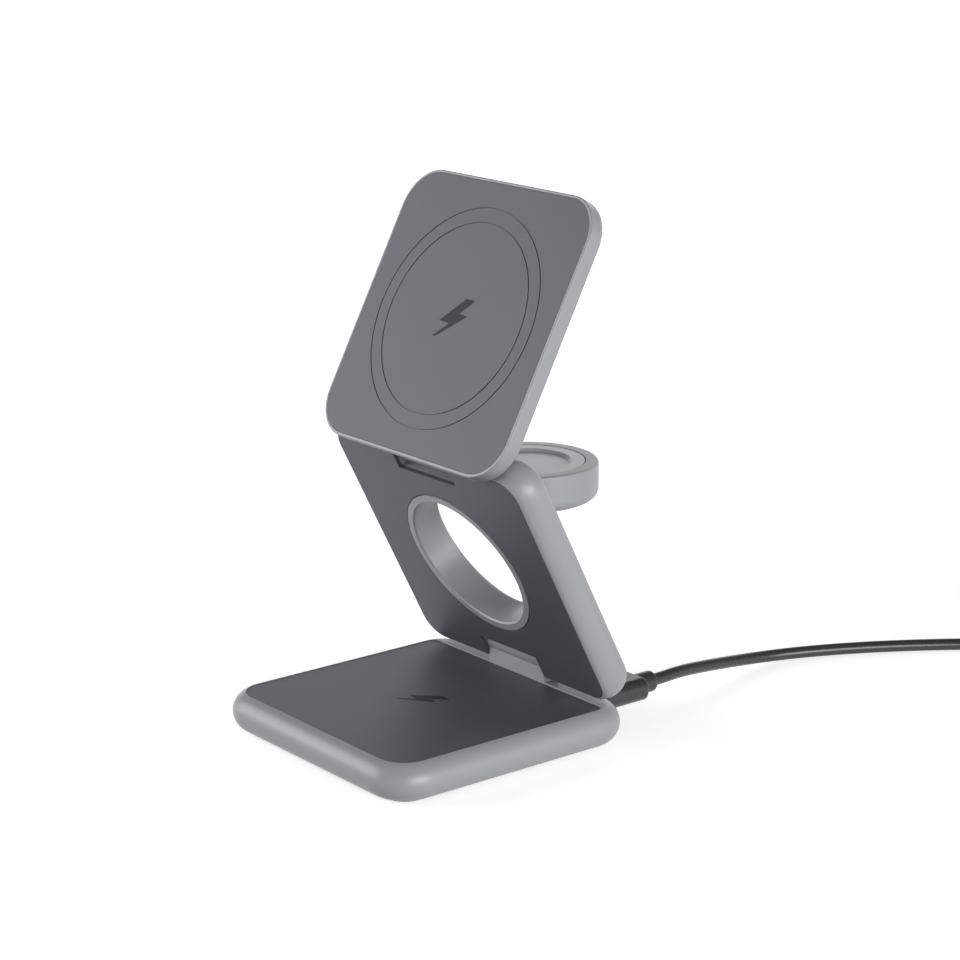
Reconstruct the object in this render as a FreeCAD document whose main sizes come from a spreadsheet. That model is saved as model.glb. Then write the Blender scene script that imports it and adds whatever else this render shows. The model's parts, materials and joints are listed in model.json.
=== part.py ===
import FreeCAD, Part
import math
import os
from types import SimpleNamespace

import Sketcher
from FreeCAD import Placement, Rotation, Vector

# Foldable three-in-one wireless charger: a base that charges earbuds, a middle panel with a round
# hole, a phone panel with a magnet ring, and a watch puck that turns out of the hole.
# Millimetres and degrees. +Z is up, the front is -Y, and the origin is under the base's centre.
SIZES = {
    # Base and middle panel
    "panel_width": 72.5,
    "plate_thickness": 1.0,
    # Base
    "base_depth": 72.3,
    "base_height": 9.6,
    "base_corner": 10.3,
    "base_edge_reach": 4.4,
    "base_edge_round": 3.4,
    "base_plate_margin": 3.3,
    "base_plate_sink": 0.35,
    "base_plate_back_corner": 2.2,
    "foot_height": 0.65,
    "foot_inset": 5.0,
    "deck_thickness": 1.2,
    "cavity_wall": 6.0,
    "cover_thickness": 1.0,
    "cover_ledge": 1.4,
    "seat_clearance": 0.1,
    # Earbud coil and board under the deck
    "earbud_coil_outer": 20.0,
    "earbud_coil_inner": 9.0,
    "earbud_coil_height": 1.2,
    "earbud_shield_height": 0.8,
    "shield_overhang": 1.0,
    "earbud_coil_shift": 6.0,
    "board_side_gap": 1.15,
    "board_depth": 20.0,
    "board_thickness": 1.4,
    "board_back_gap": 0.6,
    "board_corner": 2.0,
    "standoff_radius": 2.0,
    "standoff_inset": 4.0,
    # Cover screws
    "screw_inset": 10.5,
    "boss_radius": 2.6,
    "screw_radius": 0.9,
    "screw_length": 4.5,
    "screw_head_radius": 1.9,
    "screw_head_height": 0.7,
    "screw_clearance": 0.15,
    # Hinges
    "lower_axis_inset": 5.37,
    "lower_fold_gap": 1.55,
    "upper_fold_gap": 0.8,
    "hinge_spacing": 60.45,
    "knuckle_width": 21.2,
    "knuckle_radius": 3.3,
    "knuckle_neck": 2.4,
    "knuckle_clearance": 0.3,
    "hinge_pin_radius": 1.5,
    "hinge_pin_reach": 18.0,
    "bush_wall": 0.8,
    "bush_length": 7.0,
    "running_fit": 0.05,
    # Middle panel
    "middle_thickness": 8.7,
    "middle_tilt": 62.69,
    "middle_low_reach": 4.9,
    "middle_high_reach": 4.4,
    "middle_corner": 7.4,
    "middle_edge_reach": 3.0,
    "middle_edge_round": 2.4,
    "middle_plate_margin": 2.0,
    "middle_plate_sink": 0.1,
    "middle_plate_round": 0.3,
    "hole_radius": 18.1,
    "hole_ring_width": 2.1,
    "hole_front_bevel": 0.35,
    "hole_back_bevel": 0.7,
    "pocket_width": 8.0,
    "pocket_length": 34.0,
    "pocket_depth": 3.0,
    "pocket_corner": 1.5,
    "middle_board_thickness": 1.2,
    # Watch puck
    "watch_gap": 0.75,
    "watch_thickness": 9.3,
    "watch_proud": 1.3,
    "watch_top_round": 0.6,
    "watch_bottom_round": 2.7,
    "watch_floor": 2.5,
    "watch_cap_radius": 14.0,
    "watch_cap_wall": 1.2,
    "watch_cap_gap": 0.25,
    "watch_cap_sink": 0.1,
    "watch_dish_radius": 10.8,
    "watch_dish_depth": 0.7,
    "watch_cap_roof": 1.5,
    "watch_board_thickness": 1.0,
    "watch_shield_height": 1.0,
    "watch_coil_height": 1.6,
    "watch_coil_outer": 11.0,
    "watch_coil_inner": 6.0,
    "watch_magnet_radius": 5.0,
    "watch_pivot_rise": 3.38,
    "watch_pivot_depth": 7.76,
    "watch_arm_width": 12.0,
    "watch_arm_thickness": 2.3,
    "watch_knuckle_radius": 1.25,
    "watch_pin_radius": 0.6,
    "watch_pin_grip": 3.0,
    "watch_slot_clearance": 0.3,
    # Phone panel
    "phone_side_inset": 1.85,
    "phone_length": 68.8,
    "phone_corner": 10.3,
    "phone_thickness": 4.55,
    "phone_tilt": 62.11,
    "phone_rim": 0.7,
    "phone_plate_thickness": 0.9,
    "phone_front_round": 0.35,
    "phone_back_round": 1.5,
    "phone_center_rise": 30.9,
    "phone_cavity_depth": 2.2,
    "ring_line_outer": 27.5,
    "ring_line_inner": 23.84,
    "ring_line_width": 0.3,
    "ring_line_depth": 0.2,
    "magnet_inset": 0.3,
    "magnet_height": 1.7,
    "magnet_gap": 0.5,
    "magnet_count": 18,
    "phone_coil_outer": 21.5,
    "phone_coil_inner": 10.5,
    "phone_coil_height": 1.4,
    # Charging port and plug
    "port_offset": 15.6,
    "port_height": 5.3,
    "port_width": 8.94,
    "port_thickness": 3.16,
    "port_wall": 0.3,
    "port_length": 7.3,
    "port_sink": 1.3,
    "port_clearance": 0.2,
    "tongue_width": 6.6,
    "tongue_thickness": 0.7,
    "tongue_length": 4.4,
    "tongue_block": 1.6,
    "plug_width": 8.25,
    "plug_height": 2.4,
    "plug_wall": 0.3,
    "plug_insertion": 4.8,
    "grip_width": 10.4,
    "grip_height": 5.8,
    "grip_corner": 2.4,
    "grip_length": 17.6,
    "grip_end_round": 0.8,
    "grip_standoff": 0.3,
    "relief_length": 5.4,
    "relief_radius": 2.7,
    "relief_round": 1.0,
    # Cable
    "cable_radius": 1.55,
    "coil_inner_turn": 15.5,
    "coil_columns": 2,
    "coil_layers": 4,
    "coil_lift": 0.6,
    "tie_width": 6.0,
}

# The cable's way over the table as points chosen by hand: X and Y from the end of the plug's strain
# relief, and the cable's lift above where it lies on the table.
LEAD_ROUTE = [
    (-0.4, 10.1, 3.85),
    (-1.4, 19.5, 2.85),
    (-2.4, 29.1, 1.6),
    (-2.7, 38.7, 0.5),
    (-0.9, 48.5, 0.0),
    (3.5, 58.9, 0.0),
    (9.4, 70.1, 0.0),
    (16.1, 80.8, 0.0),
    (22.6, 89.8, 0.05),
    (30.2, 99.0, 0.2),
    (38.6, 107.9, 0.4),
    (47.6, 116.2, 0.55),
]
COIL_CENTER = (33.9, 130.3)
TAIL_ROUTE = [
    (45.4, 144.4, 9.8),
    (40.8, 148.6, 9.85),
    (34.7, 152.9, 7.4),
    (27.8, 155.2, 4.2),
    (20.6, 155.7, 1.8),
    (13.2, 155.4, 1.3),
]
FAR_PLUG_HEADING = -92.6
# The straight run of cable as it leaves a plug
STRAIGHT_RUN = 2.0
TIE_ANGLE = 130.0
TABLE_GAP = 0.05
# The share of the shorter run beside a bend that the bend's arc takes up
BEND_SHARE = 0.45
SAME_LEVEL = 1e-6

doc = FreeCAD.newDocument("foldable_charger")
SHEET = "Sizes"


class Size:
    """A length or angle that knows its number and the sheet formula that gives it."""

    def __init__(self, number, formula):
        self.number = float(number)
        self.formula = formula

    def __add__(self, other):
        other = as_size(other)
        return Size(self.number + other.number, f"({self.formula} + {other.formula})")

    def __sub__(self, other):
        other = as_size(other)
        return Size(self.number - other.number, f"({self.formula} - {other.formula})")

    def __mul__(self, other):
        other = as_size(other)
        return Size(self.number * other.number, f"({self.formula} * {other.formula})")

    def __truediv__(self, other):
        other = as_size(other)
        return Size(self.number / other.number, f"({self.formula} / {other.formula})")

    def __neg__(self):
        return Size(-self.number, f"(0 - {self.formula})")

    def __radd__(self, other):
        return as_size(other) + self

    def __rsub__(self, other):
        return as_size(other) - self

    def __rmul__(self, other):
        return as_size(other) * self

    def __rtruediv__(self, other):
        return as_size(other) / self


def as_size(value):
    return value if isinstance(value, Size) else Size(value, repr(float(value)))


def sine(angle):
    return Size(math.sin(math.radians(angle.number)), f"sin({angle.formula} * 1 deg)")


def cosine(angle):
    return Size(math.cos(math.radians(angle.number)), f"cos({angle.formula} * 1 deg)")


def other_leg(longest, leg):
    """The third side of a right-angled triangle, from its longest side and one leg."""
    number = math.sqrt(longest.number ** 2 - leg.number ** 2)
    return Size(number, f"sqrt({longest.formula} * {longest.formula} - {leg.formula} * {leg.formula})")


def make_sheet():
    """The spreadsheet of driving dimensions, and the same dimensions as Size values."""
    sheet = doc.addObject("Spreadsheet::Sheet", SHEET)
    for row, (name, value) in enumerate(SIZES.items(), 1):
        sheet.set(f"A{row}", name)
        sheet.set(f"B{row}", str(value))
        sheet.setAlias(f"B{row}", name)
    doc.recompute()
    return SimpleNamespace(**{name: Size(sheet.get(name), f"{SHEET}.{name}") for name in SIZES})


def bind(thing, path, size):
    thing.setExpression(path, as_size(size).formula)


# Bodies and sketches


def new_body(label):
    body = doc.addObject("PartDesign::Body", label)
    body.Label = label
    body.AllowCompound = True
    return body


def place(body, x=0, y=0, z=0, turn=None):
    """Put a body at a point, turned about the X axis."""
    if turn is not None:
        body.Placement = Placement(Vector(), Rotation(Vector(1, 0, 0), turn.number))
        body.setExpression("Placement.Rotation.Angle", f"{turn.formula} * 1 deg")
    for axis, size in zip("xyz", (x, y, z)):
        bind(body, f"Placement.Base.{axis}", size)


def new_sketch(body, name, role="XY_Plane", level=0):
    sketch = body.newObject("Sketcher::SketchObject", name)
    plane = [feature for feature in body.Origin.OriginFeatures if feature.Role == role][0]
    sketch.AttachmentSupport = [(plane, "")]
    sketch.MapMode = "FlatFace"
    bind(sketch, "AttachmentOffset.Base.z", level)
    return sketch


def name_constraint(sketch, kind, arguments, size, name):
    index = sketch.addConstraint(Sketcher.Constraint(kind, *arguments, size.number))
    sketch.renameConstraint(index, name)
    bind(sketch, f"Constraints.{name}", size)


def pin(sketch, item, end, x, y):
    """Fix one point of a line, arc or circle by its distance from the sketch's origin."""
    name_constraint(sketch, "DistanceX", (-1, 1, item, end), as_size(x), f"x{item}_{end}")
    name_constraint(sketch, "DistanceY", (-1, 1, item, end), as_size(y), f"y{item}_{end}")


def add_circle(sketch, radius, x=0, y=0):
    center = Vector(as_size(x).number, as_size(y).number, 0)
    item = sketch.addGeometry(Part.Circle(center, Vector(0, 0, 1), radius.number), False)
    pin(sketch, item, 3, x, y)
    name_constraint(sketch, "Radius", (item,), radius, f"radius{item}")


def arc_between(start, end, radius):
    """The shorter arc that turns left from start to end with this radius."""
    middle = (start + end) * 0.5
    chord = end - start
    rise = math.sqrt(max(radius * radius - chord.Length * chord.Length / 4, 0.0))
    center = middle + Vector(-chord.y, chord.x, 0).normalize() * rise
    first = math.atan2(start.y - center.y, start.x - center.x)
    last = math.atan2(end.y - center.y, end.x - center.x)
    circle = Part.Circle(center, Vector(0, 0, 1), radius)
    return Part.ArcOfCircle(circle, first, last if last > first else last + 2 * math.pi)


def add_outline(sketch, corners):
    """A closed outline, counter-clockwise. A corner is (x, y) or (x, y, radius), where the radius
    makes the stretch that starts there an arc that turns left."""
    points = [Vector(as_size(c[0]).number, as_size(c[1]).number, 0) for c in corners]
    items = []
    for index, corner in enumerate(corners):
        start = points[index]
        end = points[(index + 1) % len(points)]
        if len(corner) == 3:
            curve = arc_between(start, end, corner[2].number)
        else:
            curve = Part.LineSegment(start, end)
        items.append(sketch.addGeometry(curve, False))
    for index, item in enumerate(items):
        following = items[(index + 1) % len(items)]
        sketch.addConstraint(Sketcher.Constraint("Coincident", item, 2, following, 1))
    for item, corner in zip(items, corners):
        pin(sketch, item, 1, corner[0], corner[1])
        if len(corner) == 3:
            name_constraint(sketch, "Radius", (item,), corner[2], f"radius{item}")


def add_rectangle(sketch, left, right, low, high):
    add_outline(sketch, [(left, low), (right, low), (right, high), (left, high)])


def add_round_rectangle(sketch, width, depth, radius, x=0, y=0, split=False):
    """A rectangle with round corners. A split one starts in the middle of its right side."""
    left = as_size(x) - width / 2
    right = as_size(x) + width / 2
    low = as_size(y) - depth / 2
    high = as_size(y) + depth / 2
    corners = [
        (right, high - radius, radius),
        (right - radius, high),
        (left + radius, high, radius),
        (left, high - radius),
        (left, low + radius, radius),
        (left + radius, low),
        (right - radius, low, radius),
        (right, low + radius),
    ]
    if split:
        corners.append((right, as_size(y)))
        corners = corners[-1:] + corners[:-1]
    add_outline(sketch, corners)


def add_stadium(sketch, width, height, x=0, y=0):
    """A flat oval with half-round ends."""
    radius = height / 2
    left = as_size(x) - width / 2 + radius
    right = as_size(x) + width / 2 - radius
    middle = as_size(y)
    add_outline(sketch, [
        (left, middle - radius),
        (right, middle - radius, radius),
        (right + radius, middle, radius),
        (right, middle + radius),
        (left, middle + radius, radius),
        (left - radius, middle, radius),
    ])


# Features


def pad(body, sketch, length, symmetric=False, back=False):
    feature = body.newObject("PartDesign::Pad", f"{sketch.Name}_pad")
    return finish_extrusion(feature, sketch, length, symmetric, back)


def pocket(body, sketch, length, symmetric=False, back=False):
    feature = body.newObject("PartDesign::Pocket", f"{sketch.Name}_pocket")
    return finish_extrusion(feature, sketch, length, symmetric, back)


def finish_extrusion(feature, sketch, length, symmetric, back):
    feature.Profile = sketch
    feature.SideType = "Symmetric" if symmetric else "One side"
    feature.Reversed = back
    bind(feature, "Length", length)
    return feature


def revolve(body, sketch, groove=False):
    kind = "Groove" if groove else "Revolution"
    feature = body.newObject(f"PartDesign::{kind}", f"{sketch.Name}_turned")
    feature.Profile = sketch
    feature.ReferenceAxis = (sketch, ["V_Axis"])
    feature.Angle = 360
    return feature


def round_edges(body, radius, level, axis="z"):
    """Round every edge of the body's last feature that lies flat at this height along the axis."""
    doc.recompute()
    base = body.Tip
    names = []
    for index, edge in enumerate(base.Shape.Edges, 1):
        heights = [getattr(vertex.Point, axis) for vertex in edge.Vertexes]
        if max(abs(height - level.number) for height in heights) < SAME_LEVEL:
            names.append(f"Edge{index}")
    fillet = body.newObject("PartDesign::Fillet", f"{body.Name}_round")
    fillet.Base = (base, names)
    bind(fillet, "Radius", radius)


def mirror(body, feature, role):
    plane = [item for item in body.Origin.OriginFeatures if item.Role == role][0]
    copy = body.newObject("PartDesign::Mirrored", f"{feature.Name}_mirrored")
    copy.Originals = [feature]
    copy.MirrorPlane = (plane, [""])
    body.Tip = copy
    return copy


def soft_edged_panel(body, width, length, corner, thickness, level, edge, y=0):
    """A flat panel with an oval edge all round, level being its lower face. The edge is given by its
    reach and the radius of its tight arcs."""
    reach, tight = edge
    inner_corner = corner - reach
    core = new_sketch(body, f"{body.Name}_core", level=level)
    add_round_rectangle(core, width - 2 * reach, length - 2 * reach, inner_corner, y=y)
    pad(body, core, thickness)
    path = new_sketch(body, f"{body.Name}_edge_path", level=level + thickness / 2)
    add_round_rectangle(path, width - 2 * reach, length - 2 * reach, inner_corner, y=y, split=True)
    section = new_sketch(body, f"{body.Name}_edge_section", "XZ_Plane", -as_size(y))
    add_soft_edge(section, width / 2 - reach, level, thickness, reach, tight)
    edge = body.newObject("PartDesign::AdditivePipe", f"{body.Name}_edge")
    edge.Profile = section
    edge.Spine = (path, [f"Edge{index}" for index in range(1, 10)])


def add_soft_edge(sketch, x, level, thickness, reach, tight):
    """The panel edge's section: a flat side arc between two tighter arcs."""
    half = thickness / 2
    flat = (reach * reach + half * half - thickness * tight) / (2 * (reach - tight))
    share = tight / (flat - tight)
    joint_x = x + (flat - reach) * share
    joint_y = (half - tight) * (1 + share)
    middle = level + half
    add_outline(sketch, [
        (x, level, tight),
        (joint_x, middle - joint_y, flat),
        (joint_x, middle + joint_y, tight),
        (x, level + thickness),
    ])


def add_knuckle(sketch, y, z, root):
    """A hinge knuckle's side view: a round barrel about the hinge axis on a narrower neck."""
    radius = size.knuckle_radius
    neck = size.knuckle_neck
    joint = other_leg(radius, neck)
    if root.number < z.number:
        add_outline(sketch, [(y - neck, root), (y + neck, root), (y + neck, z - joint, radius),
                             (y, z + radius, radius), (y - neck, z - joint)])
    else:
        add_outline(sketch, [(y + neck, root), (y - neck, root), (y - neck, z + joint, radius),
                             (y, z - radius, radius), (y + neck, z + joint)])


def ring(label, outer, inner, height, level, y=0):
    body = new_body(label)
    sketch = new_sketch(body, f"{label}_outline", level=level)
    add_circle(sketch, outer, y=y)
    if inner is not None:
        add_circle(sketch, inner, y=y)
    pad(body, sketch, height)
    return body


def turned(label, corners):
    """A solid turned about Z from a half section of (radius, height) corners."""
    body = new_body(label)
    section = new_sketch(body, f"{label}_section", "XZ_Plane")
    add_outline(section, corners)
    revolve(body, section)
    return body


size = make_sheet()

# Places that several pieces share
base_top = size.foot_height + size.base_height
base_floor = size.foot_height + size.cover_thickness
base_plate_level = base_top - size.base_plate_sink - size.plate_thickness
base_ceiling = base_plate_level - size.deck_thickness
cavity_width = size.panel_width - 2 * size.cavity_wall
cavity_depth = size.base_depth - 2 * size.cavity_wall
cavity_corner = size.base_corner - size.cavity_wall
cover_width = cavity_width + 2 * size.cover_ledge
cover_depth = cavity_depth + 2 * size.cover_ledge
cover_corner = cavity_corner + size.cover_ledge
screw_x = size.panel_width / 2 - size.screw_inset
screw_y = size.base_depth / 2 - size.screw_inset
screw_places = [(x, y) for x in (screw_x, -screw_x) for y in (screw_y, -screw_y)]
board_width = 2 * (screw_x - size.boss_radius - size.board_side_gap)
board_back = size.base_depth / 2 - size.cavity_wall - size.board_back_gap
board_middle = board_back - size.board_depth / 2
board_level = size.port_height - size.port_thickness / 2 - size.board_thickness
port_mouth = size.base_depth / 2 - size.port_sink

lower_y = size.base_depth / 2 - size.lower_axis_inset
lower_z = base_top + size.lower_fold_gap + size.middle_thickness / 2
upper_y = lower_y - size.hinge_spacing * cosine(size.middle_tilt)
upper_z = lower_z + size.hinge_spacing * sine(size.middle_tilt)
middle_turn = 180 - size.middle_tilt
bush_outer = size.hinge_pin_radius + size.running_fit + size.bush_wall
notch_half = size.knuckle_width / 2 + size.knuckle_clearance
notch_reach = size.knuckle_radius + size.knuckle_clearance

hole_y = size.hinge_spacing / 2
front = size.middle_thickness / 2
middle_length = size.hinge_spacing + size.middle_low_reach + size.middle_high_reach
middle_y = (size.hinge_spacing + size.middle_high_reach - size.middle_low_reach) / 2
middle_plate_level = front - size.middle_plate_sink - size.plate_thickness
middle_plate_width = size.panel_width - 2 * size.middle_plate_margin
middle_plate_length = middle_length - 2 * size.middle_plate_margin
middle_plate_corner = size.middle_corner - size.middle_plate_margin
pocket_x = middle_plate_width / 2 - size.pocket_width / 2 - size.pocket_corner
watch_radius = size.hole_radius - size.watch_gap
pivot_rise = size.hole_radius + size.watch_pivot_rise
pivot_local_z = front - size.watch_pivot_depth
pivot_reach = hole_y + pivot_rise
pivot_y = lower_y - pivot_reach * cosine(size.middle_tilt) - pivot_local_z * sine(size.middle_tilt)
pivot_z = lower_z + pivot_reach * sine(size.middle_tilt) - pivot_local_z * cosine(size.middle_tilt)
watch_y = pivot_y + pivot_rise
watch_knuckle_z = size.watch_pivot_depth + size.watch_proud
watch_z = pivot_z - watch_knuckle_z

phone_back = size.middle_thickness / 2 + size.upper_fold_gap
phone_face = phone_back + size.phone_thickness
phone_plate_level = phone_face - size.phone_plate_thickness
phone_floor = phone_plate_level - size.phone_cavity_depth
phone_width = size.panel_width - 2 * size.phone_side_inset
phone_plate_width = phone_width - 2 * size.phone_rim
phone_plate_length = size.phone_length - 2 * size.phone_rim
magnet_outer = size.ring_line_outer - size.magnet_inset
magnet_inner = size.ring_line_inner + size.magnet_inset
phone_shield_height = size.phone_cavity_depth - size.phone_coil_height
yoke_height = size.phone_cavity_depth - size.magnet_height


def on_middle(body):
    place(body, y=lower_y, z=lower_z, turn=middle_turn)


def on_phone(body):
    place(body, y=upper_y, z=upper_z, turn=size.phone_tilt)


# Base


def add_base_plate_outline(sketch, inset):
    """The base plate's outline: wide corners at the front, and tight ones beside the hinge, where the
    plate ends at the knuckle's neck."""
    right = size.panel_width / 2 - size.base_plate_margin - inset
    low = size.base_plate_margin + inset - size.base_depth / 2
    high = lower_y - size.knuckle_neck - inset
    wide = size.base_corner - size.base_plate_margin - inset
    tight = size.base_plate_back_corner - inset
    add_outline(sketch, [
        (right, high - tight, tight),
        (right - tight, high),
        (tight - right, high, tight),
        (-right, high - tight),
        (-right, low + wide, wide),
        (wide - right, low),
        (right - wide, low, wide),
        (right, low + wide),
    ])


def make_base_shell():
    body = new_body("base_shell")
    soft_edged_panel(body, size.panel_width, size.base_depth, size.base_corner, size.base_height,
                     size.foot_height, (size.base_edge_reach, size.base_edge_round))
    recess = new_sketch(body, "base_plate_recess", level=base_top)
    add_base_plate_outline(recess, as_size(0))
    pocket(body, recess, base_top - base_plate_level)
    knuckle = new_sketch(body, "base_knuckle", "YZ_Plane")
    add_knuckle(knuckle, lower_y, lower_z, size.foot_height + size.base_height / 2)
    pad(body, knuckle, size.knuckle_width, symmetric=True)
    cavity = new_sketch(body, "base_cavity", level=size.foot_height)
    add_round_rectangle(cavity, cavity_width, cavity_depth, cavity_corner)
    pocket(body, cavity, base_ceiling - size.foot_height, back=True)
    seat = new_sketch(body, "base_cover_seat", level=size.foot_height)
    gap = 2 * size.seat_clearance
    add_round_rectangle(seat, cover_width + gap, cover_depth + gap, cover_corner + size.seat_clearance)
    pocket(body, seat, size.cover_thickness, back=True)
    bosses = new_sketch(body, "base_screw_bosses", level=base_floor)
    for x, y in screw_places:
        add_circle(bosses, size.boss_radius, x, y)
    pad(body, bosses, base_ceiling - base_floor)
    pilots = new_sketch(body, "base_screw_pilots", level=base_floor)
    for x, y in screw_places:
        add_circle(pilots, size.screw_radius, x, y)
    pocket(body, pilots, size.screw_length + size.screw_clearance, back=True)
    mouth = new_sketch(body, "base_port_mouth", "XZ_Plane", -(size.base_depth / 2))
    add_stadium(mouth, size.port_width + 2 * size.port_clearance,
                size.port_thickness + 2 * size.port_clearance, size.port_offset, size.port_height)
    pocket(body, mouth, size.cavity_wall + size.port_clearance, back=True)
    bore = new_sketch(body, "base_pin_bore", "YZ_Plane")
    add_circle(bore, size.hinge_pin_radius, lower_y, lower_z)
    pocket(body, bore, size.knuckle_width, symmetric=True)
    return body


def make_base_top_plate():
    body = new_body("base_top_plate")
    outline = new_sketch(body, "base_plate_outline", level=base_plate_level)
    add_base_plate_outline(outline, size.seat_clearance)
    pad(body, outline, size.plate_thickness)
    return body


def make_base_bottom_cover():
    body = new_body("base_bottom_cover")
    outline = new_sketch(body, "cover_outline", level=size.foot_height)
    add_round_rectangle(outline, cover_width, cover_depth, cover_corner)
    pad(body, outline, size.cover_thickness)
    posts = new_sketch(body, "cover_standoffs", level=base_floor)
    reach_x = board_width / 2 - size.standoff_inset
    reach_y = size.board_depth / 2 - size.standoff_inset
    for x in (reach_x, -reach_x):
        for shift in (reach_y, -reach_y):
            add_circle(posts, size.standoff_radius, x, board_middle + shift)
    pad(body, posts, board_level - base_floor)
    holes = new_sketch(body, "cover_screw_holes", level=size.foot_height)
    for x, y in screw_places:
        add_circle(holes, size.screw_radius + size.screw_clearance, x, y)
    pocket(body, holes, size.cover_thickness, back=True)
    heads = new_sketch(body, "cover_screw_heads", level=size.foot_height)
    for x, y in screw_places:
        add_circle(heads, size.screw_head_radius + size.screw_clearance, x, y)
    pocket(body, heads, size.screw_head_height, back=True)
    return body


def make_cover_screws():
    body = new_body("cover_screws")
    heads = new_sketch(body, "screw_heads", level=size.foot_height)
    shanks = new_sketch(body, "screw_shanks", level=size.foot_height)
    for x, y in screw_places:
        add_circle(heads, size.screw_head_radius, x, y)
        add_circle(shanks, size.screw_radius, x, y)
    pad(body, heads, size.screw_head_height)
    pad(body, shanks, size.cover_thickness + size.screw_length)
    return body


def make_base_foot_pad():
    body = new_body("base_foot_pad")
    outline = new_sketch(body, "foot_outline")
    margin = 2 * size.foot_inset
    add_round_rectangle(outline, size.panel_width - margin, size.base_depth - margin,
                        size.base_corner - size.foot_inset)
    pad(body, outline, size.foot_height)
    return body


def make_base_circuit_board():
    body = new_body("base_circuit_board")
    outline = new_sketch(body, "base_board_outline", level=board_level)
    add_round_rectangle(outline, board_width, size.board_depth, size.board_corner, y=board_middle)
    pad(body, outline, size.board_thickness)
    return body


def make_earbud_coil():
    level = base_ceiling - size.earbud_coil_height
    ring("earbud_coil", size.earbud_coil_outer, size.earbud_coil_inner, size.earbud_coil_height, level,
         -size.earbud_coil_shift)
    ring("earbud_coil_shield", size.earbud_coil_outer + size.shield_overhang, None,
         size.earbud_shield_height, level - size.earbud_shield_height, -size.earbud_coil_shift)


# Charging port, plug and cable


def port_tube(label, width, height, wall, start, length):
    """A flat metal tube along Y at the charging port, from start towards the back."""
    body = new_body(label)
    sketch = new_sketch(body, f"{label}_section", "XZ_Plane", -start)
    add_stadium(sketch, width, height, size.port_offset, size.port_height)
    add_stadium(sketch, width - 2 * wall, height - 2 * wall, size.port_offset, size.port_height)
    pad(body, sketch, length, back=True)
    return body


def make_port():
    port_tube("usb_c_port", size.port_width, size.port_thickness, size.port_wall,
              port_mouth - size.port_length, size.port_length)
    body = new_body("usb_c_port_tongue")
    back = port_mouth - size.port_length
    block = new_sketch(body, "tongue_block_section", "XZ_Plane", -back)
    add_stadium(block, size.port_width - 2 * size.port_wall, size.port_thickness - 2 * size.port_wall,
                size.port_offset, size.port_height)
    pad(body, block, size.tongue_block, back=True)
    tongue = new_sketch(body, "tongue_section", "XZ_Plane", -back)
    half_width = size.tongue_width / 2
    half_height = size.tongue_thickness / 2
    add_rectangle(tongue, size.port_offset - half_width, size.port_offset + half_width,
                  size.port_height - half_height, size.port_height + half_height)
    pad(body, tongue, size.tongue_block + size.tongue_length, back=True)


def make_strain_relief(label, y):
    """The plug's round collar, which the cable comes out of."""
    outer = size.relief_radius
    edge = size.relief_round
    body = turned(label, [
        (as_size(0), as_size(0)),
        (outer, as_size(0)),
        (outer, size.relief_length - edge, edge),
        (outer - edge, size.relief_length),
        (as_size(0), size.relief_length),
    ])
    place(body, size.port_offset, y, size.port_height, as_size(-90))
    return body


def make_plug(prefix, placed_at=None, heading=0.0):
    """A plug whose cable leaves along Y: metal shell, moulded grip and strain relief."""
    start = size.base_depth / 2 + size.grip_standoff
    grip_end = start + size.grip_length
    shell_start = port_mouth - size.plug_insertion
    shell = port_tube(f"{prefix}_metal_shell", size.plug_width, size.plug_height, size.plug_wall,
                      shell_start, start - shell_start)
    grip = new_body(f"{prefix}_grip")
    section = new_sketch(grip, f"{prefix}_grip_section", "XZ_Plane", -start)
    add_round_rectangle(section, size.grip_width, size.grip_height, size.grip_corner,
                        size.port_offset, size.port_height)
    pad(grip, section, size.grip_length, back=True)
    round_edges(grip, size.grip_end_round, grip_end, "y")
    relief = make_strain_relief(f"{prefix}_strain_relief", grip_end)
    cable_end = Vector(size.port_offset.number, (grip_end + size.relief_length).number,
                       size.port_height.number)
    if placed_at is not None:
        doc.recompute()
        for piece in (shell, grip, relief):
            move_plug_piece(piece, cable_end, placed_at, heading)
    return cable_end


def move_plug_piece(piece, cable_end, placed_at, heading):
    """Carry a plug's piece from the port to a place on the table."""
    local = Placement(-cable_end, Rotation()).multiply(piece.Placement)
    for path in ("Base.x", "Base.y", "Base.z", "Rotation.Angle"):
        piece.setExpression(f"Placement.{path}", None)
    piece.Placement = Placement(placed_at, Rotation(Vector(0, 0, 1), heading)).multiply(local)


def on_table(origin, route):
    lying = size.cable_radius.number + TABLE_GAP
    return [Vector(origin.x + x, origin.y + y, lying + lift) for x, y, lift in route]


def bend_radius(before, corner, after):
    """The radius that lets a route's arc take its share of the shorter run."""
    run_in = corner - before
    run_out = after - corner
    half_turn = run_in.getAngle(run_out) / 2
    return BEND_SHARE * min(run_in.Length, run_out.Length) / math.tan(half_turn)


def cable_path(points):
    """Straight runs joined by tangent arcs, as one wire."""
    edges = []
    here = points[0]
    for before, corner, after in zip(points, points[1:], points[2:]):
        radius = bend_radius(before, corner, after)
        run_in = (corner - before).normalize()
        run_out = (after - corner).normalize()
        half_turn = run_in.getAngle(run_out) / 2
        trim = radius * math.tan(half_turn)
        arc_start = corner - run_in * trim
        arc_end = corner + run_out * trim
        inward = (run_out - run_in).normalize()
        arc_middle = corner + inward * (radius / math.cos(half_turn) - radius)
        edges.append(Part.LineSegment(here, arc_start).toShape())
        edges.append(Part.Arc(arc_start, arc_middle, arc_end).toShape())
        here = arc_end
    edges.append(Part.LineSegment(here, points[-1]).toShape())
    return Part.Wire(edges)


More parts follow.
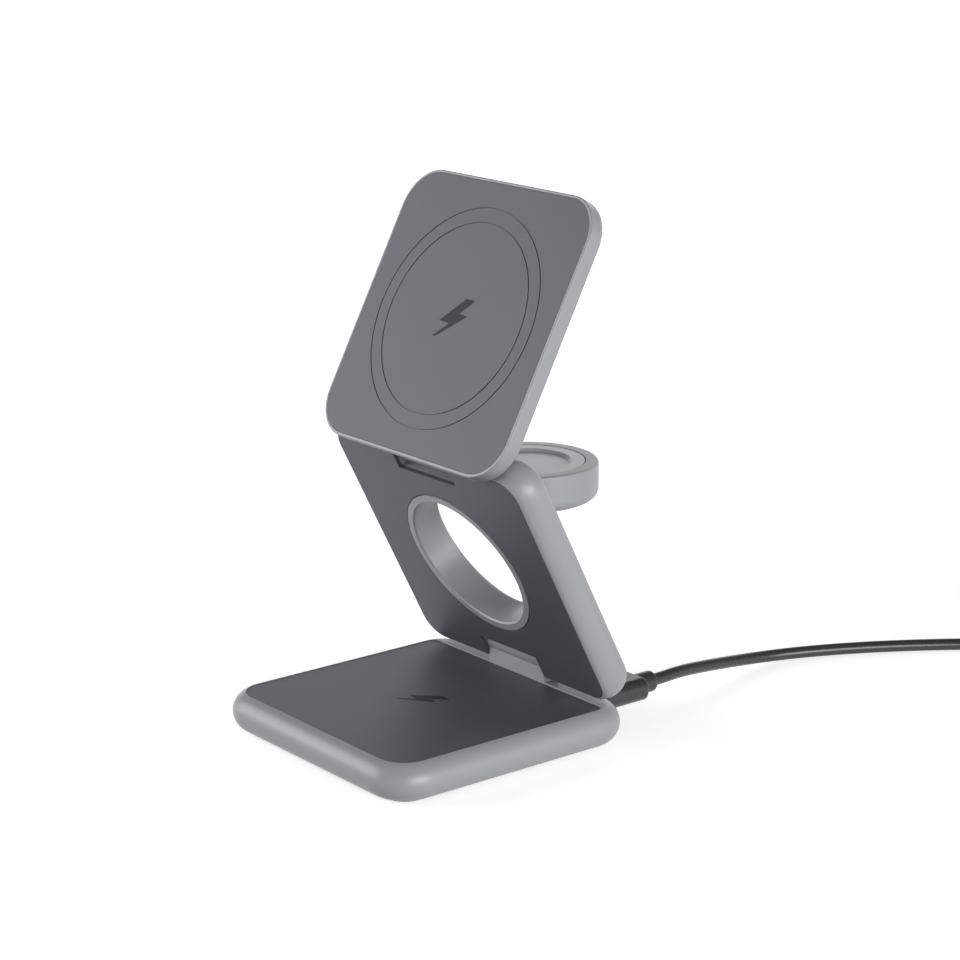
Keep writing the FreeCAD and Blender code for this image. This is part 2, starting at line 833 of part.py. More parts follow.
def make_cable_tube(label, points, coil):
    """A plain tube along a route, ending at the coil's outside."""
    path = cable_path(points)
    radius = size.cable_radius.number
    circle = Part.Wire(Part.Circle(points[0], points[1] - points[0], radius).toShape())
    tube = path.makePipeShell([circle], True, False)
    share = tube.Volume / (math.pi * radius * radius * path.Length)
    print(label, "length", round(path.Length, 1), "volume over section times length", round(share, 4))
    piece = doc.addObject("Part::Feature", label)
    piece.Label = label
    piece.Shape = tube.cut(coil.Shape)


def make_coil_and_tie(center):
    """The put-away length as the outer shape of its turns, and the strap that ties it."""
    columns = size.coil_columns
    inner = size.coil_inner_turn - size.cable_radius
    outer = size.coil_inner_turn + (2 * columns - 1) * size.cable_radius
    height = size.coil_layers * 2 * size.cable_radius
    coil = ring("cable_coil", outer, inner, height, size.coil_lift)
    coil.Placement.Base = center
    tie = new_body("cable_tie")
    section = new_sketch(tie, "tie_section", "XZ_Plane")
    strap = size.coil_lift
    add_rectangle(section, inner - strap, outer + strap, as_size(0), height + 2 * strap)
    add_rectangle(section, inner, outer, strap, height + strap)
    pad(tie, section, size.tie_width, symmetric=True)
    bite = new_sketch(tie, "tie_bite", level=size.coil_lift)
    add_circle(bite, outer)
    add_circle(bite, inner)
    pocket(tie, bite, height, back=True)
    tie.Placement = Placement(center, Rotation(Vector(0, 0, 1), TIE_ANGLE))
    doc.recompute()
    return coil


# Hinge pins and bushes


def cross_pin(label, radius, reach, y, z):
    """A pin along X, centred on the symmetry plane."""
    body = new_body(label)
    sketch = new_sketch(body, f"{label}_section", "YZ_Plane")
    add_circle(sketch, radius, y, z)
    pad(body, sketch, 2 * reach, symmetric=True)
    return body


def make_bushes(label, y):
    """Two friction bushes in the middle panel, one each side of a knuckle."""
    body = new_body(label)
    sketch = new_sketch(body, f"{label}_section", "YZ_Plane", notch_half)
    add_circle(sketch, bush_outer, y, as_size(0))
    add_circle(sketch, size.hinge_pin_radius + size.running_fit, y, as_size(0))
    right = pad(body, sketch, size.bush_length)
    mirror(body, right, "YZ_Plane")
    on_middle(body)


# Middle panel


def cut_knuckle_notches(body):
    """Room for the base's and the phone panel's knuckles at the middle panel's two ends."""
    notches = new_sketch(body, f"{body.Name}_notches", level=front)
    upper = size.hinge_spacing
    add_rectangle(notches, -notch_half, notch_half, -2 * size.middle_low_reach, notch_reach)
    add_rectangle(notches, -notch_half, notch_half, upper - notch_reach,
                  upper + 2 * size.middle_high_reach)
    pocket(body, notches, size.middle_thickness)


def cut_hole(body):
    """The round hole with a bevel on each rim. The section runs past both faces of the panel."""
    radius = size.hole_radius
    past = size.middle_thickness
    front_bevel = size.hole_front_bevel
    back_bevel = size.hole_back_bevel
    hole = new_sketch(body, "middle_hole", "XZ_Plane", -hole_y)
    add_outline(hole, [
        (as_size(0), -past),
        (radius + back_bevel + past - front, -past),
        (radius, back_bevel - front),
        (radius, front - front_bevel),
        (radius + front_bevel + past - front, past),
        (as_size(0), past),
    ])
    revolve(body, hole, groove=True)


def make_middle_shell():
    body = new_body("middle_shell")
    soft_edged_panel(body, size.panel_width, middle_length, size.middle_corner, size.middle_thickness,
                     -front, (size.middle_edge_reach, size.middle_edge_round), middle_y)
    recess = new_sketch(body, "middle_plate_recess", level=front)
    add_round_rectangle(recess, middle_plate_width, middle_plate_length, middle_plate_corner, y=middle_y)
    add_circle(recess, size.hole_radius + size.hole_ring_width, y=hole_y)
    pocket(body, recess, front - middle_plate_level)
    cut_hole(body)
    cut_knuckle_notches(body)
    bores = new_sketch(body, "middle_bush_bores", "YZ_Plane")
    add_circle(bores, bush_outer, as_size(0), as_size(0))
    add_circle(bores, bush_outer, size.hinge_spacing, as_size(0))
    pocket(body, bores, 2 * (size.hinge_pin_reach + size.knuckle_clearance), symmetric=True)
    pockets = new_sketch(body, "middle_board_pockets", level=middle_plate_level)
    for x in (pocket_x, -pocket_x):
        add_round_rectangle(pockets, size.pocket_width, size.pocket_length, size.pocket_corner, x, hole_y)
    pocket(body, pockets, size.pocket_depth)
    slot = new_sketch(body, "middle_watch_slot", "YZ_Plane")
    clearance = size.watch_slot_clearance
    add_rectangle(slot, hole_y + watch_radius - size.watch_arm_thickness,
                  pivot_reach + size.watch_knuckle_radius + clearance,
                  -size.middle_thickness, pivot_local_z + size.watch_arm_thickness + clearance)
    pocket(body, slot, size.watch_arm_width + 2 * clearance, symmetric=True)
    pin_bore = new_sketch(body, "middle_watch_pin_bore", "YZ_Plane")
    add_circle(pin_bore, size.watch_pin_radius, pivot_reach, pivot_local_z)
    pocket(body, pin_bore, size.watch_arm_width + 2 * size.watch_pin_grip, symmetric=True)
    on_middle(body)


def make_middle_front_plate():
    body = new_body("middle_front_plate")
    outline = new_sketch(body, "middle_plate_outline", level=middle_plate_level)
    gap = 2 * size.seat_clearance
    add_round_rectangle(outline, middle_plate_width - gap, middle_plate_length - gap,
                        middle_plate_corner - size.seat_clearance, y=middle_y)
    add_circle(outline, size.hole_radius + size.hole_ring_width + size.seat_clearance, y=hole_y)
    pad(body, outline, size.plate_thickness)
    round_edges(body, size.middle_plate_round, front - size.middle_plate_sink)
    cut_knuckle_notches(body)
    on_middle(body)


def make_middle_circuit_board():
    body = new_body("middle_circuit_board")
    level = middle_plate_level - size.pocket_depth
    outline = new_sketch(body, "middle_board_outline", level=level)
    gap = 2 * size.seat_clearance
    add_round_rectangle(outline, size.pocket_width - gap, size.pocket_length - gap,
                        size.pocket_corner - size.seat_clearance, pocket_x, hole_y)
    pad(body, outline, size.middle_board_thickness)
    on_middle(body)


# Watch puck, in a frame of its own: the origin under the disc's centre, the pivot towards the front


def on_watch(body):
    place(body, y=watch_y, z=watch_z)


def make_watch_housing():
    low = size.watch_bottom_round
    high = size.watch_top_round
    top = size.watch_thickness
    inside = size.watch_cap_radius + size.watch_cap_gap
    body = turned("watch_housing", [
        (as_size(0), as_size(0)),
        (watch_radius - low, as_size(0), low),
        (watch_radius, low),
        (watch_radius, top - high, high),
        (watch_radius - high, top),
        (inside, top),
        (inside, size.watch_floor),
        (as_size(0), size.watch_floor),
    ])
    arm = new_sketch(body, "watch_arm", "YZ_Plane")
    root = (size.watch_cap_gap - size.watch_cap_radius - watch_radius) / 2
    add_rectangle(arm, -pivot_rise, root, top - size.watch_arm_thickness, top)
    pad(body, arm, size.watch_arm_width, symmetric=True)
    knuckle = new_sketch(body, "watch_knuckle", "YZ_Plane")
    add_circle(knuckle, size.watch_knuckle_radius, -pivot_rise, watch_knuckle_z)
    pad(body, knuckle, size.watch_arm_width, symmetric=True)
    bore = new_sketch(body, "watch_pin_bore", "YZ_Plane")
    add_circle(bore, size.watch_pin_radius + size.running_fit, -pivot_rise, watch_knuckle_z)
    pocket(body, bore, size.watch_arm_width, symmetric=True)
    on_watch(body)


def make_watch_charging_cap():
    outer = size.watch_cap_radius
    inner = outer - size.watch_cap_wall
    seat = size.watch_floor + size.watch_board_thickness
    top = size.watch_thickness - size.watch_cap_sink
    dish = top - size.watch_dish_depth
    roof = dish - size.watch_cap_roof
    body = turned("watch_charging_cap", [
        (as_size(0), roof),
        (inner, roof),
        (inner, seat),
        (outer, seat),
        (outer, top),
        (size.watch_dish_radius, top),
        (size.watch_dish_radius - size.watch_dish_depth, dish),
        (as_size(0), dish),
    ])
    on_watch(body)


def make_watch_insides():
    level = size.watch_floor
    for label, outer, inner, height in (
        ("watch_circuit_board", size.watch_cap_radius, None, size.watch_board_thickness),
        ("watch_coil_shield", size.watch_coil_outer + size.shield_overhang, None, size.watch_shield_height),
        ("watch_coil", size.watch_coil_outer, size.watch_coil_inner, size.watch_coil_height),
    ):
        on_watch(ring(label, outer, inner, height, level))
        level = level + height
    base = level - size.watch_coil_height
    on_watch(ring("watch_magnet", size.watch_magnet_radius, None, size.watch_coil_height, base))


# Phone panel


def make_phone_shell():
    body = new_body("phone_shell")
    outline = new_sketch(body, "phone_outline", level=phone_back)
    add_round_rectangle(outline, phone_width, size.phone_length, size.phone_corner,
                        y=size.phone_center_rise)
    pad(body, outline, size.phone_thickness)
    round_edges(body, size.phone_front_round, phone_face)
    round_edges(body, size.phone_back_round, phone_back)
    recess = new_sketch(body, "phone_plate_recess", level=phone_face)
    add_round_rectangle(recess, phone_plate_width, phone_plate_length, size.phone_corner - size.phone_rim,
                        y=size.phone_center_rise)
    pocket(body, recess, size.phone_plate_thickness)
    knuckle = new_sketch(body, "phone_knuckle", "YZ_Plane")
    add_knuckle(knuckle, as_size(0), as_size(0), phone_back + size.phone_back_round)
    pad(body, knuckle, size.knuckle_width, symmetric=True)
    cavity = new_sketch(body, "phone_cavity", level=phone_plate_level)
    add_circle(cavity, magnet_outer + size.seat_clearance, y=size.phone_center_rise)
    pocket(body, cavity, size.phone_cavity_depth)
    bore = new_sketch(body, "phone_pin_bore", "YZ_Plane")
    add_circle(bore, size.hinge_pin_radius, as_size(0), as_size(0))
    pocket(body, bore, size.knuckle_width, symmetric=True)
    on_phone(body)


def make_phone_face_plate():
    body = new_body("phone_face_plate")
    outline = new_sketch(body, "phone_plate_outline", level=phone_plate_level)
    gap = 2 * size.seat_clearance
    add_round_rectangle(outline, phone_plate_width - gap, phone_plate_length - gap,
                        size.phone_corner - size.phone_rim - size.seat_clearance,
                        y=size.phone_center_rise)
    pad(body, outline, size.phone_plate_thickness)
    for name, radius in (("outer", size.ring_line_outer), ("inner", size.ring_line_inner)):
        line = new_sketch(body, f"phone_ring_line_{name}", level=phone_face)
        add_circle(line, radius + size.ring_line_width / 2, y=size.phone_center_rise)
        add_circle(line, radius - size.ring_line_width / 2, y=size.phone_center_rise)
        pocket(body, line, size.ring_line_depth)
    on_phone(body)


def make_phone_magnets():
    """A ring of magnet segments on a steel yoke, in a frame centred on the ring."""
    body = new_body("phone_magnets")
    sketch = new_sketch(body, "magnet_outline", level=phone_plate_level - size.magnet_height)
    half_step = 180 / size.magnet_count
    reach_in = magnet_inner * cosine(half_step)
    reach_out = magnet_outer * cosine(half_step)
    low = magnet_inner * sine(half_step) - size.magnet_gap / 2
    high = magnet_outer * sine(half_step) - size.magnet_gap / 2
    add_outline(sketch, [(reach_in, -low), (reach_out, -high), (reach_out, high), (reach_in, low)])
    segment = pad(body, sketch, size.magnet_height)
    axis = [item for item in body.Origin.OriginFeatures if item.Role == "Z_Axis"][0]
    pattern = body.newObject("PartDesign::PolarPattern", "magnet_pattern")
    pattern.Originals = [segment]
    pattern.Axis = (axis, [""])
    pattern.Angle = 360
    bind(pattern, "Occurrences", size.magnet_count)
    body.Tip = pattern
    yoke = ring("magnet_yoke", magnet_outer, magnet_inner, yoke_height, phone_floor)
    center_y = upper_y + size.phone_center_rise * cosine(size.phone_tilt)
    center_z = upper_z + size.phone_center_rise * sine(size.phone_tilt)
    for piece in (body, yoke):
        place(piece, y=center_y, z=center_z, turn=size.phone_tilt)


def make_phone_coil():
    rise = size.phone_center_rise
    on_phone(ring("phone_coil", size.phone_coil_outer, size.phone_coil_inner, size.phone_coil_height,
                  phone_floor + phone_shield_height, rise))
    on_phone(ring("phone_coil_shield", size.phone_coil_outer + size.shield_overhang, None,
                  phone_shield_height, phone_floor, rise))


def leaving(end, heading):
    """Where the straight run ends that leaves a plug with this heading."""
    return end + Rotation(Vector(0, 0, 1), heading).multVec(Vector(0, STRAIGHT_RUN, 0))


def make_cable(start):
    """The cable from the plug to its coil, the coil, and the tail that ends in the far plug."""
    coil = make_coil_and_tie(Vector(start.x + COIL_CENTER[0], start.y + COIL_CENTER[1], 0))
    make_cable_tube("cable_lead", [start, leaving(start, 0)] + on_table(start, LEAD_ROUTE), coil)
    tail = on_table(start, TAIL_ROUTE)
    tail_end = tail.pop()
    tail_end.z = size.grip_height.number / 2
    tail.append(leaving(tail_end, FAR_PLUG_HEADING))
    make_cable_tube("cable_tail", tail + [tail_end], coil)
    make_plug("far_plug", tail_end, FAR_PLUG_HEADING)


def build():
    make_base_shell()
    make_base_top_plate()
    make_base_bottom_cover()
    make_cover_screws()
    make_base_foot_pad()
    make_base_circuit_board()
    make_earbud_coil()
    make_port()
    cable_start = make_plug("plug")
    cross_pin("lower_hinge_pin", size.hinge_pin_radius, size.hinge_pin_reach, lower_y, lower_z)
    make_middle_shell()
    make_middle_front_plate()
    make_middle_circuit_board()
    make_bushes("lower_hinge_bushes", as_size(0))
    make_bushes("upper_hinge_bushes", size.hinge_spacing)
    on_middle(cross_pin("watch_hinge_pin", size.watch_pin_radius,
                        size.watch_arm_width / 2 + size.watch_pin_grip, pivot_reach, pivot_local_z))
    make_watch_housing()
    make_watch_charging_cap()
    make_watch_insides()
    make_phone_shell()
    make_phone_face_plate()
    make_phone_magnets()
    make_phone_coil()
    on_phone(cross_pin("upper_hinge_pin", size.hinge_pin_radius, size.hinge_pin_reach, as_size(0),
                       as_size(0)))
    make_cable(cable_start)


def is_sub_part(item):
    """Bodies and free-standing shapes are sub-parts. The features inside a body are not."""
    if item.TypeId == "PartDesign::Body":
        return True
    return item.TypeId == "Part::Feature" and not item.InList


def export():
    doc.recompute()
    for item in doc.Objects:
        if "Invalid" in item.State or "Error" in item.State:
            raise RuntimeError(f"{item.Label} failed: {item.State}")
    pieces = [item for item in doc.Objects if is_sub_part(item)]
    for piece in pieces:
        if piece.Shape.isNull() or not piece.Shape.isValid():
            raise RuntimeError(f"{piece.Label} has no valid shape")
    os.makedirs("parts", exist_ok=True)
    for piece in pieces:
        piece.Shape.exportStep(f"parts/{piece.Label}.step")
        print(piece.Label, len(piece.Shape.Solids), round(piece.Shape.Volume, 1))


build()
export()
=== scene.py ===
import json
import math

import bmesh
import bpy
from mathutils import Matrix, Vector


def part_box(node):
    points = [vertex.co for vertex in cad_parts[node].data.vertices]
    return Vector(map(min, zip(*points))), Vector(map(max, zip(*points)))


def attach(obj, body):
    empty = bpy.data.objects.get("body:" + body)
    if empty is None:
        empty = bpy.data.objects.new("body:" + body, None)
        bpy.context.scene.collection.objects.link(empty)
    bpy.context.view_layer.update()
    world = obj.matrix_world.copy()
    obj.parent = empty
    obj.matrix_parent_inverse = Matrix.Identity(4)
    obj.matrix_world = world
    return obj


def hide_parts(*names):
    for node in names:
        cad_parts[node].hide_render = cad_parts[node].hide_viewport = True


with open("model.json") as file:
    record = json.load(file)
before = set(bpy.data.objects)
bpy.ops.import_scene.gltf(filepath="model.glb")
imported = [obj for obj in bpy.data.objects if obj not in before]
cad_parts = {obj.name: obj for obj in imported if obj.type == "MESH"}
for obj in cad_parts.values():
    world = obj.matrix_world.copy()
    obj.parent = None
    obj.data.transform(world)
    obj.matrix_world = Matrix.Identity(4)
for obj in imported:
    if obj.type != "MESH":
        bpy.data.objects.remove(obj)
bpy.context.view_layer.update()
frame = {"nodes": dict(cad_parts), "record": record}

MM = 0.001
scene = bpy.context.scene
mounts = {mount["name"]: mount for mount in frame["record"]["mounts"]}

# Camera, from the photograph's perspective
CAMERA_TARGET = Vector((4.695, 13.136, 62.81)) * MM
CAMERA_AZIMUTH = math.radians(51.283)
CAMERA_ELEVATION = math.radians(15.376)
CAMERA_DISTANCE = 632.7 * MM
CAMERA_LENS = 100.2
CAMERA_SENSOR = 36.0
CAMERA_CLIP = (0.01, 20.0)

# Cable, in millimetres: the route over the table, the put-away coil and the tail with the far plug.
CABLE_RADIUS = 1.55
CABLE_LEAD = [
    (15.6, 59.45, 5.3),
    (15.6, 62.3, 5.33),
    (15.2, 69.55, 5.45),
    (14.2, 78.95, 4.45),
    (13.2, 88.55, 3.2),
    (12.9, 98.15, 2.1),
    (14.7, 107.95, 1.6),
    (19.1, 118.35, 1.6),
    (25.0, 129.55, 1.6),
    (31.7, 140.25, 1.6),
    (38.2, 149.25, 1.65),
    (45.8, 158.45, 1.8),
    (54.2, 167.35, 2.0),
    (63.2, 175.65, 2.15),
]
CABLE_TAIL = [
    (56.4, 208.05, 11.45),
    (50.3, 212.35, 9.0),
    (43.4, 214.65, 5.8),
    (36.2, 215.15, 3.4),
    (30.8, 214.76, 2.9),
    (28.8, 214.85, 2.9),
]
COIL_CENTER = (49.5, 189.75)
COIL_LIFT = 2.15
COIL_RADII = (15.5, 18.6)
COIL_LAYER = 3.1
# The column and layer of each turn, from the lead to the tail. The angles are in degrees
COIL_TURNS = [(1, 0), (0, 0), (0, 1), (1, 1), (1, 2), (0, 2), (0, 3), (1, 3), (1, 3)]
COIL_START = -46.0
COIL_END = 51.0
COIL_STEP = 22.5
# A turn moves to the next one's place over this angle, and each move comes earlier than the last
COIL_SHIFT = 30.0
COIL_STAGGER = 35.0

# Charging symbol on the phone panel and the base, as (right, up) in millimetres
BOLT = [
    (2.0, 5.15), (5.3, 5.15), (1.5, 1.35), (4.6, 1.1),
    (-3.9, -5.2), (-5.1, -5.25), (-0.85, -1.5), (-4.6, -1.25),
]
BOLT_PROUD = 0.02
BASE_BOLT_SCALE = 0.9
BASE_BOLT_PLACE = (0.3, -0.97)

# Surfaces: the grain's scale, its depth in millimetres, and how far the gloss drifts with it
GRAIN_SCALE = 4000.0
GRAIN_DETAIL = 3.0
GRAIN_DEPTH = 0.02
GLOSS_DRIFT = 0.05
# The drift of colour is this many times coarser than the grain
MOTTLE_COARSENESS = 40.0
MOTTLE_DETAIL = 4.0

# Light
HORIZON_LIGHT = 1.05
# The sky's share of the horizon's light, by height: 0 is straight down and 1 straight up
SKY = [(0.0, 0.1), (0.46, 0.14), (0.5, 1.0), (0.6, 0.5), (0.78, 0.14), (1.0, 0.1)]
# Soft boxes: name, azimuth and elevation in degrees, distance, width and height in metres, power in watts
BOXES = [
    ("left_box", -46.0, 17.0, 1.6, 1.4, 1.0, 19.0),
    ("right_box", 92.0, 8.0, 1.6, 1.3, 0.7, 27.0),
    ("back_box", -129.0, 14.0, 3.2, 3.2, 1.4, 16.0),
]
BOX_TARGET = Vector((0.0, 0.0, 0.06))
# The floor glows a little near the object, and more far from it, where the boxes don't reach. Distances in metres
FLOOR_COLOR = (0.86, 0.86, 0.86)
FLOOR_GLOW = 0.62
FAR_FLOOR_GLOW = 1.1
FLOOR_NEAR = 0.6
FLOOR_FAR = 1.4
FLOOR_REACH = 18.0


# Camera

def make_camera():
    data = bpy.data.cameras.new("camera")
    data.lens = CAMERA_LENS
    data.sensor_width = CAMERA_SENSOR
    data.clip_start, data.clip_end = CAMERA_CLIP
    camera = bpy.data.objects.new("camera", data)
    scene.collection.objects.link(camera)
    across = math.cos(CAMERA_ELEVATION)
    back = Vector((math.sin(CAMERA_AZIMUTH) * across, -math.cos(CAMERA_AZIMUTH) * across,
                   math.sin(CAMERA_ELEVATION)))
    camera.location = CAMERA_TARGET + back * CAMERA_DISTANCE
    camera.rotation_euler = back.to_track_quat("Z", "Y").to_euler()
    scene.camera = camera


# Cable

def coil_points():
    """The put-away turns: each turn keeps its column and layer, and moves to the next one's near its end."""
    points = []
    last = 360.0 * (len(COIL_TURNS) - 1) + COIL_END - COIL_START
    travelled = COIL_STEP
    while travelled <= last:
        turn = int(travelled // 360.0)
        into = travelled - 360.0 * turn
        here = COIL_TURNS[turn]
        there = COIL_TURNS[min(turn + 1, len(COIL_TURNS) - 1)]
        moved_from = 360.0 - COIL_SHIFT - COIL_STAGGER * turn
        share = min(max((into - moved_from) / COIL_SHIFT, 0.0), 1.0)
        column = here[0] + (there[0] - here[0]) * share
        layer = here[1] + (there[1] - here[1]) * share
        radius = COIL_RADII[0] + (COIL_RADII[1] - COIL_RADII[0]) * column
        angle = math.radians(COIL_START + travelled)
        points.append((COIL_CENTER[0] + radius * math.cos(angle), COIL_CENTER[1] + radius * math.sin(angle),
                       COIL_LIFT + COIL_LAYER * layer))
        travelled += COIL_STEP
    return points


def make_cable(material):
    curve = bpy.data.curves.new("charging_cable", "CURVE")
    curve.dimensions = "3D"
    curve.bevel_depth = CABLE_RADIUS * MM
    curve.bevel_resolution = 6
    curve.use_fill_caps = True
    curve.resolution_u = 6
    points = CABLE_LEAD + coil_points() + CABLE_TAIL
    spline = curve.splines.new("NURBS")
    spline.points.add(len(points) - 1)
    for place, point in zip(spline.points, points):
        place.co = (*(Vector(point) * MM), 1.0)
    spline.order_u = 3
    spline.use_endpoint_u = True
    spline.use_smooth = True
    curve.materials.append(material)
    cable = bpy.data.objects.new("charging_cable", curve)
    scene.collection.objects.link(cable)
    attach(cable, "base")
    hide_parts("cable_lead", "cable_coil", "cable_tail")


# Materials

def new_material(name, color, roughness, metallic=0.0, grain=0.0, grain_scale=GRAIN_SCALE, mottle=0.0,
                 specular=0.5, tint=(1.0, 1.0, 1.0)):
    """A moulded or metal surface: fine grain in the bump and the gloss, and a slow drift of colour."""
    material = bpy.data.materials.new(name)
    material.use_nodes = True
    tree = material.node_tree
    shader = tree.nodes["Principled BSDF"]
    shader.inputs["Metallic"].default_value = metallic
    shader.inputs["Roughness"].default_value = roughness
    shader.inputs["Specular IOR Level"].default_value = specular
    shader.inputs["Specular Tint"].default_value = (*tint, 1.0)
    shader.inputs["Base Color"].default_value = (*color, 1.0)
    place = tree.nodes.new("ShaderNodeTexCoord")
    if mottle:
        drift = tree.nodes.new("ShaderNodeTexNoise")
        drift.inputs["Scale"].default_value = grain_scale / MOTTLE_COARSENESS
        drift.inputs["Detail"].default_value = MOTTLE_DETAIL
        tree.links.new(place.outputs["Object"], drift.inputs["Vector"])
        shades = tree.nodes.new("ShaderNodeValToRGB")
        for stop, factor in zip(shades.color_ramp.elements, (1.0 - mottle, 1.0 + mottle)):
            stop.color = (*(channel * factor for channel in color), 1.0)
        tree.links.new(drift.outputs["Fac"], shades.inputs["Fac"])
        tree.links.new(shades.outputs["Color"], shader.inputs["Base Color"])
    if grain:
        noise = tree.nodes.new("ShaderNodeTexNoise")
        noise.inputs["Scale"].default_value = grain_scale
        noise.inputs["Detail"].default_value = GRAIN_DETAIL
        tree.links.new(place.outputs["Object"], noise.inputs["Vector"])
        bump = tree.nodes.new("ShaderNodeBump")
        bump.inputs["Strength"].default_value = grain
        bump.inputs["Distance"].default_value = GRAIN_DEPTH * MM
        tree.links.new(noise.outputs["Fac"], bump.inputs["Height"])
        tree.links.new(bump.outputs["Normal"], shader.inputs["Normal"])
        dull = tree.nodes.new("ShaderNodeMapRange")
        dull.inputs["To Min"].default_value = roughness - GLOSS_DRIFT
        dull.inputs["To Max"].default_value = roughness + GLOSS_DRIFT
        tree.links.new(noise.outputs["Fac"], dull.inputs["Value"])
        tree.links.new(dull.outputs["Result"], shader.inputs["Roughness"])
    return material


def make_materials():
    return {
        "shell": new_material("satin_grey_plastic", (0.293, 0.311, 0.322), 0.37, grain=0.25, mottle=0.02),
        "dark_plate": new_material("satin_dark_plate", (0.0655, 0.0755, 0.0885), 0.5, grain=0.3, mottle=0.03,
                                   tint=(0.93, 0.95, 1.0)),
        "watch_cap": new_material("pale_grey_plastic", (0.32, 0.33, 0.341), 0.3, grain=0.2, mottle=0.02),
        "foot_rubber": new_material("silicone_foot", (0.05, 0.05, 0.053), 0.75, grain=0.4, mottle=0.05),
        "copper": new_material("enamelled_copper", (0.72, 0.33, 0.16), 0.3, metallic=1.0, grain=0.4, mottle=0.06),
        "ferrite": new_material("ferrite", (0.045, 0.045, 0.05), 0.6, grain=0.5, mottle=0.1),
        "circuit_board": new_material("green_board", (0.02, 0.12, 0.06), 0.35, grain=0.1, mottle=0.05),
        "steel": new_material("plated_steel", (0.62, 0.62, 0.64), 0.28, metallic=1.0, grain=0.1, mottle=0.02),
        "magnet": new_material("plated_magnet", (0.7, 0.7, 0.72), 0.2, metallic=1.0, grain=0.1, mottle=0.02),
        "bush_plastic": new_material("black_plastic", (0.02, 0.02, 0.022), 0.5, grain=0.2, mottle=0.05),
        "cable_jacket": new_material("cable_jacket", (0.034, 0.034, 0.035), 0.28, grain=0.35, mottle=0.04),
        "symbol": new_material("symbol_print", (0.012, 0.016, 0.02), 0.5, grain=0.2, mottle=0.03, specular=0.18),
    }


def dress_nodes(materials):
    """Each CAD node takes the material of its slot in the record."""
    for part in frame["record"]["subparts"]:
        data = frame["nodes"][part["node"]].data
        data.materials.clear()
        data.materials.append(materials[part["material_slot"]])


# Charging symbols

def make_bolt(name, center, right, up, scale, body, material):
    """A printed bolt on a flat face, as a thin closed sheet."""
    out = right.cross(up)
    mesh = bmesh.new()
    corners = [center + (right * x + up * y) * scale * MM + out * BOLT_PROUD * MM for x, y in BOLT]
    face = mesh.faces.new([mesh.verts.new(corner) for corner in corners])
    lowered = bmesh.ops.extrude_face_region(mesh, geom=[face])
    for item in lowered["geom"]:
        if isinstance(item, bmesh.types.BMVert):
            item.co -= out * 2 * BOLT_PROUD * MM
    bmesh.ops.recalc_face_normals(mesh, faces=mesh.faces)
    data = bpy.data.meshes.new(name)
    mesh.to_mesh(data)
    mesh.free()
    data.materials.append(material)
    bolt = bpy.data.objects.new(name, data)
    scene.collection.objects.link(bolt)
    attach(bolt, body)


def make_bolts(material):
    face = mounts["phone_face"]
    normal = Vector(face["axis"])
    right = Vector((1.0, 0.0, 0.0))
    make_bolt("phone_charging_symbol", Vector(face["pos_m"]), right, normal.cross(right), 1.0, "phone", material)
    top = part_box("base_top_plate")[1].z
    center = Vector((BASE_BOLT_PLACE[0] * MM, BASE_BOLT_PLACE[1] * MM, top))
    make_bolt("base_charging_symbol", center, right, Vector((0.0, 1.0, 0.0)), BASE_BOLT_SCALE, "base", material)


# Stage

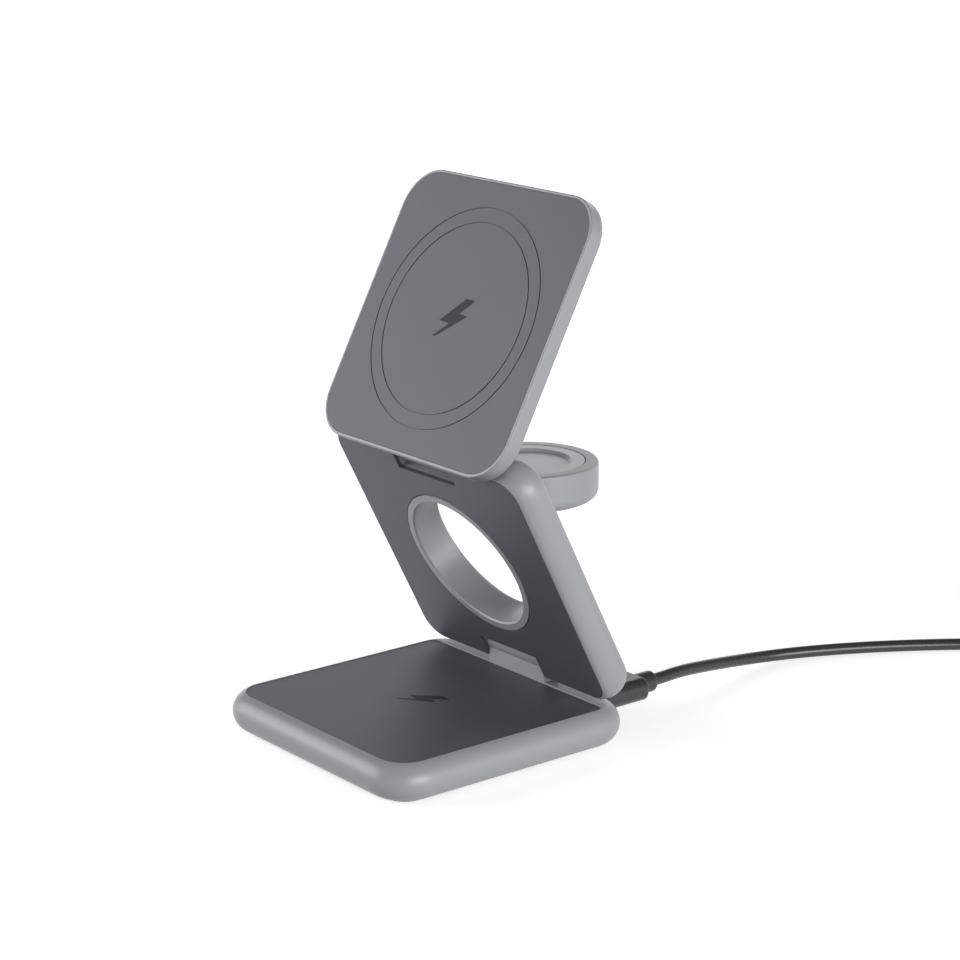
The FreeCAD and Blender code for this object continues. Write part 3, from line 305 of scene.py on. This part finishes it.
def make_floor():
    mesh = bmesh.new()
    bmesh.ops.create_grid(mesh, x_segments=1, y_segments=1, size=FLOOR_REACH)
    data = bpy.data.meshes.new("floor")
    mesh.to_mesh(data)
    mesh.free()
    material = new_material("white_floor", FLOOR_COLOR, 0.7, grain=0.02, grain_scale=200.0)
    tree = material.node_tree
    shader = tree.nodes["Principled BSDF"]
    shader.inputs["Emission Color"].default_value = (1.0, 1.0, 1.0, 1.0)
    place = tree.nodes.new("ShaderNodeTexCoord")
    away = tree.nodes.new("ShaderNodeVectorMath")
    away.operation = "LENGTH"
    glow = tree.nodes.new("ShaderNodeMapRange")
    glow.interpolation_type = "SMOOTHSTEP"
    for name, value in (("From Min", FLOOR_NEAR), ("From Max", FLOOR_FAR), ("To Min", FLOOR_GLOW),
                        ("To Max", FAR_FLOOR_GLOW)):
        glow.inputs[name].default_value = value
    tree.links.new(place.outputs["Object"], away.inputs[0])
    tree.links.new(away.outputs["Value"], glow.inputs["Value"])
    tree.links.new(glow.outputs["Result"], shader.inputs["Emission Strength"])
    data.materials.append(material)
    floor = bpy.data.objects.new("floor", data)
    floor.visible_diffuse = False
    scene.collection.objects.link(floor)


def make_area_light(name, azimuth, elevation, distance, width, height, power):
    """A soft box that looks at the middle of the object. Azimuth 0 is in front, 90 is on the +X side."""
    data = bpy.data.lights.new(name, "AREA")
    data.shape = "RECTANGLE"
    data.size = width
    data.size_y = height
    data.energy = power
    light = bpy.data.objects.new(name, data)
    scene.collection.objects.link(light)
    turn = math.radians(azimuth)
    rise = math.radians(elevation)
    toward = Vector((math.sin(turn) * math.cos(rise), -math.cos(turn) * math.cos(rise), math.sin(rise)))
    light.location = BOX_TARGET + toward * distance
    light.rotation_euler = toward.to_track_quat("Z", "Y").to_euler()


def make_sky():
    """A plain studio, bright at the height of the object and dimmer overhead."""
    world = bpy.data.worlds.new("studio")
    world.use_nodes = True
    tree = world.node_tree
    background = tree.nodes["Background"]
    place = tree.nodes.new("ShaderNodeTexCoord")
    parts = tree.nodes.new("ShaderNodeSeparateXYZ")
    height = tree.nodes.new("ShaderNodeMapRange")
    height.inputs["From Min"].default_value = -1.0
    fade = tree.nodes.new("ShaderNodeValToRGB")
    stops = fade.color_ramp.elements
    while len(stops) < len(SKY):
        stops.new(0.5)
    for stop, (level, share) in zip(stops, SKY):
        stop.position = level
        stop.color = (share, share, share, 1.0)
    background.inputs["Strength"].default_value = HORIZON_LIGHT
    tree.links.new(place.outputs["Generated"], parts.inputs["Vector"])
    tree.links.new(parts.outputs["Z"], height.inputs["Value"])
    tree.links.new(height.outputs["Result"], fade.inputs["Fac"])
    tree.links.new(fade.outputs["Color"], background.inputs["Color"])
    scene.world = world


def make_light():
    make_sky()
    for box in BOXES:
        make_area_light(*box)
    scene.view_settings.view_transform = "Standard"


make_camera()
materials = make_materials()
dress_nodes(materials)
make_cable(materials["cable_jacket"])
make_bolts(materials["symbol"])
make_floor()
make_light()
